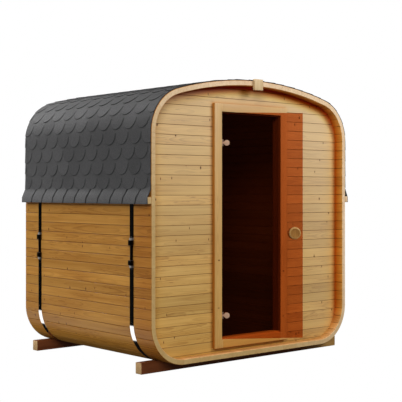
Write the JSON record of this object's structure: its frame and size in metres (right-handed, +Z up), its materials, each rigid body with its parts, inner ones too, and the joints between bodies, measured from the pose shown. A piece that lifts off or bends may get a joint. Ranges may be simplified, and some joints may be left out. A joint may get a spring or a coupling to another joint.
{
  "type": "cube sauna cabin",
  "caption": "Square barrel sauna cabin of staves in steel hoops, with a shingled arched roof, cradle skids and a hinged tinted glass door that stands ajar.",
  "frame": {"origin": "middle of the front skid's underside, on the ground and on the cabin's centre line", "axes": "+Z up, +X to the right seen from the front, +Y from the door end to the rear wall"},
  "size_m": [2.304, 2.1746, 2.33],
  "materials": {
    "stave_side": "oiled pine staves",
    "wall_boards": "oiled pine boards",
    "door_frame": "planed and oiled pine",
    "skid_wood": "impregnated pine",
    "trim_wood": "planed pine",
    "knob_wood": "turned and waxed wood",
    "bronze_glass": "bronze tinted toughened glass",
    "hinge_metal": "satin",
    "fixing_steel": "zinc plated",
    "hoop_steel": "dark gloss",
    "roof_shingle": "mineral surfaced bitumen"
  },
  "bodies": {
    "cabin": {"floor_staves": "stave_side", "lower_left_corner_staves": "stave_side", "lower_right_corner_staves": "stave_side", "left_side_staves": "stave_side", "right_side_staves": "stave_side", "upper_left_corner_staves": "stave_side", "upper_right_corner_staves": "stave_side", "roof_staves_left": "stave_side", "roof_staves_right": "stave_side", "front_wall_left": "wall_boards", "front_wall_right": "wall_boards", "front_wall_over_door": "wall_boards", "front_wall_under_door": "wall_boards", "rear_wall": "wall_boards", "door_jamb_left": "door_frame", "door_jamb_right": "door_frame", "door_head": "door_frame", "door_sill": "door_frame", "skid_front": "skid_wood", "skid_rear": "skid_wood", "eaves_batten_left": "trim_wood", "eaves_batten_right": "trim_wood", "ridge_block_front": "trim_wood", "ridge_block_rear": "trim_wood", "hinge_bracket_top": "hinge_metal", "hinge_bracket_bottom": "hinge_metal", "tension_rod_front_left": "fixing_steel", "tension_rod_front_right": "fixing_steel", "tension_rod_rear_left": "fixing_steel", "tension_rod_rear_right": "fixing_steel", "band_front_upper": "hoop_steel", "band_front_lower": "hoop_steel", "band_rear_upper": "hoop_steel", "band_rear_lower": "hoop_steel", "roof_covering_left": "roof_shingle", "roof_covering_arch": "roof_shingle", "roof_covering_right": "roof_shingle"},
    "door": {"door_glass": "bronze_glass", "hinge_clamp_top": "hinge_metal", "hinge_clamp_bottom": "hinge_metal", "door_knob_outer": "knob_wood", "door_knob_inner": "knob_wood", "knob_bolt": "fixing_steel"}
  },
  "joints": [
    {"name": "door_swing", "type": "hinge", "parent": "cabin", "child": "door", "pos_m": [-0.329, -0.102, 0], "axis": [0, 0, -1], "range_deg": [-34, 56]}
  ]
}
